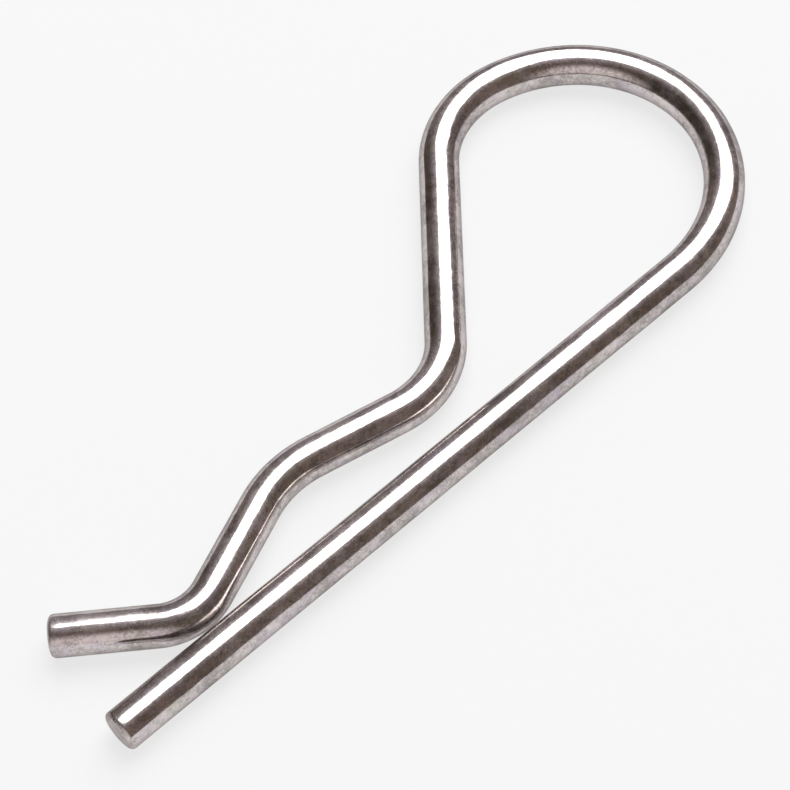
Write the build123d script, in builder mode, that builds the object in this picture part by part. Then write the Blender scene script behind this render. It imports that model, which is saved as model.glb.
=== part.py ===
from build123d import *
import os

# Hitch pin clip, also called an R-clip: one length of round spring wire, bent flat.
# It lies in the XY plane with the wire's centreline at Z = 0. The straight leg runs
# along X and the curved leg is on its +Y side. The origin is on the straight leg's
# axis at the middle of the seat, where the axis of the held shaft crosses it.
# Lengths are in millimetres and angles in degrees. A gap is the clear space between
# the two legs, and a bend's radius is that of the peg which the wire is bent around.

# Wire, and the round left on the rim of its two sheared ends
wire_diameter = 4.5
end_rounding = 1.0

# Straight leg, from its cut end to the start of the eye, and the seat's place along it
leg_length = 77.5
seat_from_tip = 32.0

# Eye: an easy bend, a long back bend, and a tighter bend that brings the wire home
eye_front_radius = 15.5
eye_front_turn = 62.0
eye_back_radius = 14.5
eye_back_turn = 104.0
eye_return_radius = 10.0

# Curved leg: the throat behind the shaft, the seat over it and the nip in front of it
throat_from_seat = 15.0
throat_gap = 3.5
throat_radius = 7.5
seat_gap = 6.4
seat_radius = 10.5
nip_from_seat = 17.5
nip_gap = 0.6
nip_radius = 4.0

# Flared end, which rides up over the shaft
flare_angle = 39.0
flare_length = 11.0

os.makedirs("parts", exist_ok=True)

wire_radius = wire_diameter / 2

# Bending pegs of the curved leg: those of the throat and nip stand on its outer side,
# and the seat's between the legs
throat_peg = Vector(throat_from_seat, wire_radius + throat_gap + wire_diameter + throat_radius)
seat_peg = Vector(0, wire_radius + seat_gap - seat_radius)
nip_peg = Vector(-nip_from_seat, wire_radius + nip_gap + wire_diameter + nip_radius)


def round_peg(centre, radius):
    """The circle that the wire's centreline follows around a bending peg."""
    return CenterArc(centre, radius + wire_radius, 0, 360, mode=Mode.PRIVATE)


def straight_run(from_circle, from_side, to_circle, to_side):
    """The straight wire between two pegs, each of which lies on the stated side of it."""
    ends = [(from_circle, from_side), (to_circle, to_side)]
    return ConstrainedLines(*ends, selector=lambda lines: lines[0]).edge()


# A line's tangency says which side of it the circle is on
left, right = Tangency.ENCLOSING, Tangency.OUTSIDE

with BuildPart() as hitch_pin:
    with BuildLine() as centreline:
        leg = Line((-seat_from_tip, 0), (leg_length - seat_from_tip, 0))
        eye_front = JernArc(leg @ 1, leg % 1, eye_front_radius + wire_radius, eye_front_turn)
        eye_back = JernArc(eye_front @ 1, eye_front % 1, eye_back_radius + wire_radius, eye_back_turn)
        into_eye = (eye_back % 1).rotate(Axis.Z, 90)
        return_peg = eye_back @ 1 + into_eye * (eye_return_radius + wire_radius)

        return_circle = round_peg(return_peg, eye_return_radius)
        throat_circle = round_peg(throat_peg, throat_radius)
        seat_circle = round_peg(seat_peg, seat_radius)
        nip_circle = round_peg(nip_peg, nip_radius)
        to_throat = straight_run(return_circle, left, throat_circle, right)
        to_seat = straight_run(throat_circle, right, seat_circle, left)
        to_nip = straight_run(seat_circle, left, nip_circle, right)

        TangentArc(eye_back @ 1, to_throat @ 0, tangent=eye_back % 1)
        TangentArc(to_throat @ 1, to_seat @ 0, tangent=to_throat % 1)
        TangentArc(to_seat @ 1, to_nip @ 0, tangent=to_seat % 1)
        flare_direction = Vector(-1, 0).rotate(Axis.Z, -flare_angle)
        nip_turn = (to_nip % 1).get_angle(flare_direction)
        nip_bend = JernArc(to_nip @ 1, to_nip % 1, nip_radius + wire_radius, -nip_turn)
        Line(nip_bend @ 1, nip_bend @ 1 + flare_direction * flare_length)
    with BuildSketch(leg ^ 0):
        Circle(wire_radius)
    sweep(path=centreline.wire())
    fillet(hitch_pin.faces().filter_by(GeomType.PLANE).edges(), end_rounding)

hitch_pin.part.label = "hitch_pin"
export_step(hitch_pin.part, "parts/hitch_pin.step")
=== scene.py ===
from math import asin, atan2, cos, hypot, pi, radians, sin

import bmesh
import bpy
from mathutils import Matrix, Vector, noise


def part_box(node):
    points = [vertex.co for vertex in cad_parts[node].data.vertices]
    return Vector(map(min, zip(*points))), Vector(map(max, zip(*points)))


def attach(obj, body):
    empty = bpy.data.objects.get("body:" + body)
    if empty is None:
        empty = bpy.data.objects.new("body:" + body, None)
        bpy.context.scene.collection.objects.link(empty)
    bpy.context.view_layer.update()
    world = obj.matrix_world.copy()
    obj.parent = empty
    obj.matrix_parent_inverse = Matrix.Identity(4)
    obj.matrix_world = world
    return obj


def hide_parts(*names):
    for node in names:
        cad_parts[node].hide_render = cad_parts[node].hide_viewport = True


mm = 0.001
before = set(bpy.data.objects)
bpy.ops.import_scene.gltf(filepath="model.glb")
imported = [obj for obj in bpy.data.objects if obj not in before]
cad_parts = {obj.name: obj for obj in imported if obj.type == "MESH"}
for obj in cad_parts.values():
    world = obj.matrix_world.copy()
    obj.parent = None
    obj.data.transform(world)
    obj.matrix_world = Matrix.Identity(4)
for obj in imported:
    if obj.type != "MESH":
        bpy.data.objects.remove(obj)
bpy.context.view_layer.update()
low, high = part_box("hitch_pin")
print("frame loaded, the clip measures", [round(side / mm, 1) for side in high - low], "mm")


# Shader expressions

class Signal:
    # a shader socket that can stand in a sum
    def __init__(self, socket):
        self.socket = socket

    @staticmethod
    def pick(sockets, key):
        if isinstance(key, int):
            return sockets[key]
        return next(socket for socket in sockets if socket.name == key and socket.enabled)

    @classmethod
    def node(cls, tree, kind, settings=None, inputs=None, output=None):
        made = tree.nodes.new("ShaderNode" + kind)
        for name, value in (settings or {}).items():
            setattr(made, name, value)
        for key, value in (inputs or {}).items():
            socket = cls.pick(made.inputs, key)
            if isinstance(value, Signal):
                tree.links.new(value.socket, socket)
            else:
                socket.default_value = value
        if output is None:
            output = next(out.name for out in made.outputs if out.enabled) if made.outputs else None
        return cls(cls.pick(made.outputs, output)) if output else made

    def math(self, operation, *values):
        return Signal.node(self.socket.id_data, "Math", {"operation": operation}, dict(enumerate(values)))

    def __add__(self, other):
        return self.math("ADD", self, other)

    __radd__ = __add__

    def __sub__(self, other):
        return self.math("SUBTRACT", self, other)

    def __rsub__(self, other):
        return self.math("SUBTRACT", other, self)

    def __mul__(self, other):
        return self.math("MULTIPLY", self, other)

    __rmul__ = __mul__

    def least(self, other):
        return self.math("MINIMUM", self, other)

    def most(self, other):
        return self.math("MAXIMUM", self, other)

    # 0 below start, 1 above stop, eased between
    def rise(self, start, stop):
        return Signal.node(
            self.socket.id_data, "MapRange", {"interpolation_type": "SMOOTHSTEP", "clamp": True},
            {"Value": self, "From Min": start, "From Max": stop, "To Min": 0.0, "To Max": 1.0})

    # this colour, going over to another where the mask is 1
    def over(self, other, mask):
        return Signal.node(
            self.socket.id_data, "Mix", {"data_type": "RGBA"},
            {"Factor": mask, "A": self, "B": other if isinstance(other, Signal) else (*other, 1)})

    # a vector stretched along each axis
    def times(self, factors):
        return Signal.node(self.socket.id_data, "VectorMath", {"operation": "MULTIPLY"}, {0: self, 1: factors})

    def plus(self, shift):
        return Signal.node(self.socket.id_data, "VectorMath", {"operation": "ADD"}, {0: self, 1: shift})

    def axis(self, name):
        return Signal.node(self.socket.id_data, "SeparateXYZ", {}, {0: self}, name)


def newTree(owner):
    owner.use_nodes = True
    owner.node_tree.nodes.clear()
    return owner.node_tree


def plainColour(tree, colour):
    made = Signal.node(tree, "RGB", {}, {}, "Color")
    made.socket.default_value = (*colour, 1)
    return made


def grain(coordinates, size, detail=2.0, roughness=0.5, distortion=0.0):
    # a noise whose lumps are about as big as size, in metres
    return Signal.node(
        coordinates.socket.id_data, "TexNoise", {"noise_dimensions": "3D"},
        {"Vector": coordinates, "Scale": 1 / size, "Detail": detail, "Roughness": roughness,
         "Distortion": distortion}, "Fac")


# The wire

wire = {
    "facets": 96,                # round the wire
    "step": 0.42 * mm,           # between rings on bends
    "rimRound": 0.55 * mm,       # sheared edge, rolled over
    "rimSteps": 8,
    "legLength": 77.5 * mm,
    "eyeFront": (17.75 * mm, 62.0),      # centreline radius, degrees
    "eyeBack": (16.75 * mm, 104.0),
    "eyeReturn": 12.25 * mm,
    "throat": (15.0 * mm, 17.75 * mm, 9.75 * mm),      # peg x and y from the seat, centreline radius
    "seat": (0.0, -1.85 * mm, 12.75 * mm),
    "nip": (-17.5 * mm, 11.35 * mm, 6.25 * mm),
    "flareAngle": 39.0,
    "flareLength": 11.0 * mm,
    "waviness": 0.012 * mm,      # how far the drawn surface strays from round
    "waveLength": 3.2 * mm,
    "wavesFrom": 2.0 * mm,       # they start this far in from the rims
    "waveDetail": (0.6, 2.1, 3),         # how the finer waves fade, shrink and how many there are
    "faceRings": (0.1 * mm, 0.3 * mm, 0.3 * mm, 0.3 * mm),      # widths of the rings on a cut face
}


def crossRun(fromPeg, toPeg, turnSide):
    # straight run that leaves one peg on one side and meets the next on the other
    (ax, ay, ar), (bx, by, br) = fromPeg, toPeg
    apart = hypot(bx - ax, by - ay)
    heading = atan2(by - ay, bx - ax) + turnSide * asin((ar + br) / apart)
    return heading, (apart * apart - (ar + br) ** 2) ** 0.5


def makeWire():
    wireRadius = (high.z - low.z) / 2
    bm = bmesh.new()
    unbent = bm.verts.layers.float_vector.new("unbent")
    place = Matrix.Translation((low.x, 0, 0))
    bmesh.ops.create_circle(
        bm, segments=wire["facets"], radius=wireRadius, matrix=place @ Matrix.Rotation(pi / 2, 4, "Y"))
    for point in bm.verts:
        point[unbent] = (0, point.co.y, point.co.z)
    ring, alongs = bm.edges[:], [0.0]

    def sweep(length, radius=0.0, angle=0.0, step=wire["step"]):
        # carries the last ring on, straight or round a peg on its left (angle > 0) or right
        nonlocal ring, place
        steps = max(1, round(length / step))
        side = 1 if angle >= 0 else -1
        pegCentre = place @ Vector((0, side * radius, 0))
        forward = place.to_3x3() @ Vector((0 if radius else length / steps, 0, 0))
        made = bmesh.ops.spin(
            bm, geom=ring, cent=pegCentre, axis=(0, 0, 1), dvec=forward, angle=angle, steps=steps,
            use_merge=False, use_duplicate=False)
        ring = [item for item in made["geom_last"] if isinstance(item, bmesh.types.BMEdge)]
        start = alongs[-1]
        alongs.extend(start + length * (number + 1) / steps for number in range(steps))
        if radius:
            turn = Matrix.Translation(pegCentre) @ Matrix.Rotation(angle, 4, "Z") @ Matrix.Translation(-pegCentre)
            place = turn @ place
        else:
            place = Matrix.Translation(forward * steps) @ place

    def bend(radius, angle):
        sweep(radius * abs(angle), radius, angle)

    def heading():
        forward = place.col[0]
        return atan2(forward.y, forward.x)

    def turnTo(wanted):
        # the shortest turn from the present heading
        return (wanted - heading() + pi) % (2 * pi) - pi

    sweep(2 * wire["rimRound"], step=1)
    sweep(wire["legLength"] - 2 * wire["rimRound"])
    for radius, angle in (wire["eyeFront"], wire["eyeBack"]):
        bend(radius, radians(angle))
    eyeCentre = place @ Vector((0, wire["eyeReturn"], 0))
    pegs = [(eyeCentre.x, eyeCentre.y, wire["eyeReturn"]), wire["throat"], wire["seat"], wire["nip"]]
    turnSide = 1
    for peg, nextPeg in zip(pegs, pegs[1:]):
        direction, length = crossRun(peg, nextPeg, turnSide)
        bend(peg[2], turnTo(direction))
        sweep(length)
        turnSide = -turnSide
    bend(wire["nip"][2], turnTo(pi - radians(wire["flareAngle"])))
    sweep(wire["flareLength"] - 2 * wire["rimRound"])
    sweep(2 * wire["rimRound"], step=1)
    wireLength = alongs[-1]
    for number, point in enumerate(bm.verts):
        point[unbent].x = alongs[number // wire["facets"]]
    print("wire swept,", len(alongs), "rings,", round(wireLength / mm, 1), "mm long")

    # sheared ends: a flat face with a rolled rim
    openEdges = [edge for edge in bm.edges if edge.is_boundary]
    capped = bmesh.ops.holes_fill(bm, edges=openEdges, sides=0)["faces"]
    rims = [edge for face in capped for edge in face.edges]
    bmesh.ops.bevel(
        bm, geom=rims, offset=wire["rimRound"], offset_type="OFFSET", affect="EDGES",
        segments=wire["rimSteps"], profile=0.5, material=-1, clamp_overlap=False)
    cutFaces = [face for face in bm.faces if len(face.verts) == wire["facets"]]
    for cut in sorted(cutFaces, key=lambda face: face.calc_center_median().y):
        for ringWidth in wire["faceRings"]:
            bmesh.ops.inset_individual(bm, faces=[cut], thickness=ringWidth, depth=0, use_even_offset=True)
        bmesh.ops.poke(bm, faces=[cut])
    tipPlace = Matrix.Translation((low.x, 0, 0))
    for endPlace, base, inwards in ((tipPlace, 0.0, 1), (place, wireLength, -1)):
        inverse = endPlace.inverted()
        for point in bm.verts:
            # the points of the rim and the cut face take their unbent place from the end's own frame
            local = inverse @ point.co
            onEnd = -0.01 * mm < inwards * local.x < 1.99 * wire["rimRound"]
            if onEnd and hypot(local.y, local.z) < 1.1 * wireRadius:
                point[unbent] = (base + local.x, local.y, local.z)
    bmesh.ops.recalc_face_normals(bm, faces=bm.faces)

    # the drawn surface strays a little from round
    bm.normal_update()
    for point in bm.verts:
        spot = Vector(point[unbent])
        fade = min(1, max(0, min(spot.x, wireLength - spot.x) - wire["rimRound"]) / wire["wavesFrom"])
        stray = noise.fractal(spot / wire["waveLength"], *wire["waveDetail"]) * wire["waviness"] * fade
        point.co += point.normal * stray
    for face in bm.faces:
        face.smooth = True
    mesh = bpy.data.meshes.new("spring_wire")
    bm.to_mesh(mesh)
    bm.free()
    piece = bpy.data.objects.new("spring_wire", mesh)
    bpy.context.scene.collection.objects.link(piece)
    return piece, wireLength


# The steel

steel = {
    "pale": (0.700, 0.640, 0.630),
    "dull": (0.350, 0.318, 0.310),
    "olive": (0.520, 0.500, 0.430),
    "violet": (0.560, 0.500, 0.570),
    "roughness": 0.10,
    "roughnessSpread": 0.09,
    "edgeTint": (0.50, 0.48, 0.48),
    "filmSpread": 0.15,          # how far a dull film takes the metal's mirror away
    "grainStart": (21.7 * mm, 13.1 * mm, 17.3 * mm),      # away from where a noise's octaves line up
    "mottleSize": 9.0 * mm,
    "speckSize": 0.13 * mm,
    "hazeSize": 3.0 * mm,
    "filmSize": 5.0 * mm,
    "grainSize": 1.3 * mm,
    "lineSize": 0.22 * mm,
    "grainHeight": 0.0040 * mm,
    "hueSize": 1.7 * mm,
    "hueShare": 0.5,             # most that the olive and violet drifts take over
    "drawn": (0.8, 1, 1),        # patches are a little longer along the wire
    "cutFace": (0.2 * mm, 0.55 * mm),    # distances from an end at which the cut face's finish fades out
    "cutRoughness": 0.30,
    "cutGrainSize": 0.25 * mm,
}


def makeSteel(wireLength):
    material = bpy.data.materials.new("bright_drawn_steel")
    tree = newTree(material)
    place = Signal.node(tree, "Attribute", {"attribute_name": "unbent"}, {}, "Vector")
    along = place.axis("X")
    fromEnd = along.least(wireLength - along)
    cutFace = 1 - fromEnd.rise(*steel["cutFace"])
    place = place.plus(steel["grainStart"])

    # a shift in metres keeps one pattern from following another
    drawn = place.times(steel["drawn"])
    specks = grain(place, steel["speckSize"], 1, 0.5)
    mottle = (grain(drawn, steel["mottleSize"], 7, 1.0) * 0.88 + specks * 0.12).rise(0.41, 0.59)
    haze = grain(drawn.plus((3.1, 0, 0)), steel["hazeSize"], 5, 1.0).rise(0.40, 0.62)
    film = grain(drawn.plus((5.3, 0, 0)), steel["filmSize"], 6, 0.9).rise(0.44, 0.66)
    lumps = grain(place, steel["grainSize"], 4, 0.6)
    lines = grain(place.times((0.06, 1, 1)), steel["lineSize"], 2, 0.5)
    hueDrift = grain(place.times((0.6, 1, 1)).plus((7.7, 0, 0)), steel["hueSize"], 2, 0.5, 0.6)

    colour = plainColour(tree, steel["pale"]).over(steel["dull"], mottle)
    colour = colour.over(steel["violet"], hueDrift.rise(0.52, 0.7) * steel["hueShare"])
    colour = colour.over(steel["olive"], (1 - hueDrift.rise(0.30, 0.46)) * steel["hueShare"])
    roughness = steel["roughness"] + steel["roughnessSpread"] * haze + cutFace * steel["cutRoughness"]
    height = lumps * 0.8 + lines * 0.12 + cutFace * grain(place, steel["cutGrainSize"], 3, 0.7)
    bump = Signal.node(tree, "Bump", {}, {"Height": height, "Distance": steel["grainHeight"], "Strength": 1.0})
    shader = Signal.node(tree, "BsdfPrincipled", {}, {
        "Base Color": colour, "Metallic": 0.99 - steel["filmSpread"] * film, "Roughness": roughness,
        "Normal": bump, "Specular Tint": (*steel["edgeTint"], 1)})
    Signal.node(tree, "OutputMaterial", {}, {"Surface": shader})
    return material


clip, wireLength = makeWire()
clip.data.materials.append(makeSteel(wireLength))
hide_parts("hitch_pin")
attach(clip, "root")
print("clip made,", len(clip.data.polygons), "faces")


# The studio: a white floor, one softbox and, seen only in the metal, a dim room round them, a glowing shell
# painted with the room's light and shade

studio = {
    "floorColour": (0.90, 0.90, 0.90),
    "floorSize": 8.0,
    "floorLift": 0.70,           # share of the floor that shows as plain white, the rest keeps the shadow
    "floorFar": (0.12, 0.45),    # distances between which that share goes up to all of it
    "floorWhite": 1.0,
    "roomRadius": 3.4,
    "ambient": (0.34, 0.34, 0.35),
    "softboxTowards": (30, 65),          # azimuth from +X, height above the floor, degrees
    "softboxAway": 1.3,
    "softboxFacing": (15, 35),           # where its back points
    "softboxAlong": (105, 5),            # where its first side runs
    "softboxSize": (1.1, 1.4),
    "softboxLevel": 2.9,         # radiance on the floor and the object
    "softboxGlow": 4.5,          # as the metal mirrors it
    "roomColour": (0.17, 0.13, 0.11),
    # soft areas of painted light and shade on the room: where they are, and the degrees off their middle at which
    # they start to fade and end
    # painted light: a lighter, glowing stretch of wall
    "wall": {"towards": (40, 10), "full": 20, "gone": 60, "colour": (0.28, 0.25, 0.26)},
    # painted shade: the room's unlit corner, glowing darker than the rest
    "unlit_corner_shade": {"towards": (135, 20), "full": 20, "gone": 60, "colour": (0.05, 0.04, 0.03)},
    # painted light: a glow round the softbox, standing for its spill
    "softbox_spill_glow": {"towards": (30, 65), "full": 0, "gone": 55, "colour": (0.75, 0.73, 0.76)},      # round the softbox
    # painted light: a bright card behind the camera, glowing rather than lit
    "bright_card_glow": {"towards": (-150, 10), "full": 20, "gone": 50, "colour": (0.85, 0.78, 0.76)},    # behind the camera
}


def towards(azimuth, height):
    return Vector((cos(radians(height)) * cos(radians(azimuth)), cos(radians(height)) * sin(radians(azimuth)),
                   sin(radians(height))))


def addObject(name, data):
    made = bpy.data.objects.new(name, data)
    bpy.context.scene.collection.objects.link(made)
    return made


def lightPath(tree, *kinds):
    rays = [Signal.node(tree, "LightPath", {}, {}, kind) for kind in kinds]
    total = rays[0]
    for ray in rays[1:]:
        total = total.most(ray)
    return total


def makeFloor():
    bm = bmesh.new()
    bmesh.ops.create_grid(
        bm, x_segments=1, y_segments=1, size=studio["floorSize"] / 2, matrix=Matrix.Translation((0, 0, low.z)))
    mesh = bpy.data.meshes.new("floor")
    bm.to_mesh(mesh)
    bm.free()
    material = bpy.data.materials.new("pale_floor")
    tree = newTree(material)
    spot = Signal.node(tree, "TexCoord", {}, {}, "Object")
    far = Signal.node(tree, "VectorMath", {"operation": "LENGTH"}, {0: spot}, "Value").rise(*studio["floorFar"])
    lift = studio["floorLift"] + (1 - studio["floorLift"]) * far
    seen = lightPath(tree, "Is Camera Ray", "Is Glossy Ray", "Is Transmission Ray") * lift
    paper = Signal.node(tree, "BsdfDiffuse", {}, {"Color": (*studio["floorColour"], 1)})
    white = Signal.node(tree, "Emission", {}, {"Color": (1, 1, 1, 1), "Strength": studio["floorWhite"]})
    shader = Signal.node(tree, "MixShader", {}, {0: seen, 1: paper, 2: white})
    Signal.node(tree, "OutputMaterial", {}, {"Surface": shader})
    material.cycles.emission_sampling = "NONE"
    mesh.materials.append(material)
    addObject("floor", mesh)


def makeRoom():
    bm = bmesh.new()
    bmesh.ops.create_uvsphere(
        bm, u_segments=64, v_segments=32, radius=studio["roomRadius"], matrix=Matrix.Translation((0, 0, low.z)))
    bmesh.ops.reverse_faces(bm, faces=bm.faces)
    mesh = bpy.data.meshes.new("room")
    bm.to_mesh(mesh)
    bm.free()
    material = bpy.data.materials.new("glowing_room_wall")
    tree = newTree(material)
    spot = Signal.node(tree, "TexCoord", {}, {}, "Object")
    direction = Signal.node(tree, "VectorMath", {"operation": "NORMALIZE"}, {0: spot})
    colour = plainColour(tree, studio["roomColour"])
    for name in ("wall", "unlit_corner_shade", "softbox_spill_glow", "bright_card_glow"):
        area = studio[name]
        middle = towards(*area["towards"])
        near = Signal.node(tree, "VectorMath", {"operation": "DOT_PRODUCT"}, {0: direction, 1: middle}, "Value")
        angle = near.math("ARCCOSINE", near.least(1.0))
        colour = colour.over(area["colour"], 1 - angle.rise(radians(area["full"]), radians(area["gone"])))
    # the shell glows in these colours: painted light and shade that no lamp casts
    shader = Signal.node(tree, "Emission", {}, {"Color": colour, "Strength": 1.0})
    Signal.node(tree, "OutputMaterial", {}, {"Surface": shader})
    material.cycles.emission_sampling = "NONE"
    mesh.materials.append(material)
    room = addObject("room", mesh)
    room.visible_camera = room.visible_diffuse = room.visible_shadow = room.visible_transmission = False


def makeSoftbox():
    lamp = bpy.data.lights.new("softbox", "AREA")
    lamp.shape = "RECTANGLE"
    lamp.size, lamp.size_y = studio["softboxSize"]
    lamp.energy = studio["softboxLevel"] * pi * lamp.size * lamp.size_y
    softbox = addObject("softbox", lamp)
    direction = towards(*studio["softboxTowards"])
    back, across = towards(*studio["softboxFacing"]), towards(*studio["softboxAlong"])
    across = (across - back * across.dot(back)).normalized()
    softbox.rotation_mode = "QUATERNION"
    softbox.rotation_quaternion = Matrix((across, back.cross(across), back)).transposed().to_quaternion()
    softbox.location = direction * studio["softboxAway"]
    softbox.visible_glossy = False

    # its front as the metal mirrors it
    bm = bmesh.new()
    bmesh.ops.create_grid(bm, x_segments=1, y_segments=1, size=0.5)
    bmesh.ops.scale(bm, vec=(lamp.size, lamp.size_y, 1), verts=bm.verts)
    bmesh.ops.transform(
        bm, matrix=Matrix.LocRotScale(softbox.location, softbox.rotation_quaternion, None), verts=bm.verts)
    mesh = bpy.data.meshes.new("softbox_front")
    bm.to_mesh(mesh)
    bm.free()
    material = bpy.data.materials.new("softbox_cloth")
    tree = newTree(material)
    shader = Signal.node(tree, "Emission", {}, {"Color": (1, 1, 1, 1), "Strength": studio["softboxGlow"]})
    Signal.node(tree, "OutputMaterial", {}, {"Surface": shader})
    material.cycles.emission_sampling = "NONE"
    mesh.materials.append(material)
    front = addObject("softbox_front", mesh)
    front.visible_camera = front.visible_diffuse = front.visible_shadow = front.visible_transmission = False


def makeWorld():
    world = bpy.data.worlds.new("studio_air")
    bpy.context.scene.world = world
    tree = newTree(world)
    seen = lightPath(tree, "Is Camera Ray", "Is Glossy Ray", "Is Transmission Ray")
    colour = plainColour(tree, studio["ambient"]).over((1, 1, 1), seen)
    background = Signal.node(tree, "Background", {}, {"Color": colour, "Strength": 1.0})
    Signal.node(tree, "OutputWorld", {}, {"Surface": background})
    world.cycles.sampling_method = "NONE"


makeFloor()
makeRoom()
makeSoftbox()
makeWorld()
print("studio made")


# The camera

camera = {
    "lens": 133.12,
    "aim": (14.03 * mm, 10.18 * mm, 0),
    "azimuth": -34.04,
    "elevation": 55.35,
    "distance": 306.22 * mm,
    "roll": -9.75,
}


def makeCamera():
    data = bpy.data.cameras.new("camera")
    data.lens, data.sensor_width = camera["lens"], 36
    data.clip_start, data.clip_end = 0.01, 50
    shooter = addObject("camera", data)
    azimuth, elevation = radians(camera["azimuth"]), radians(camera["elevation"])
    back = Vector((sin(azimuth) * cos(elevation), -cos(azimuth) * cos(elevation), sin(elevation)))
    shooter.location = Vector(camera["aim"]) + back * camera["distance"]
    shooter.rotation_mode = "QUATERNION"
    shooter.rotation_quaternion = (
        back.to_track_quat("Z", "Y") @ Matrix.Rotation(radians(camera["roll"]), 3, "Z").to_quaternion())
    bpy.context.scene.camera = shooter


makeCamera()
bpy.context.scene.view_settings.view_transform = "Standard"
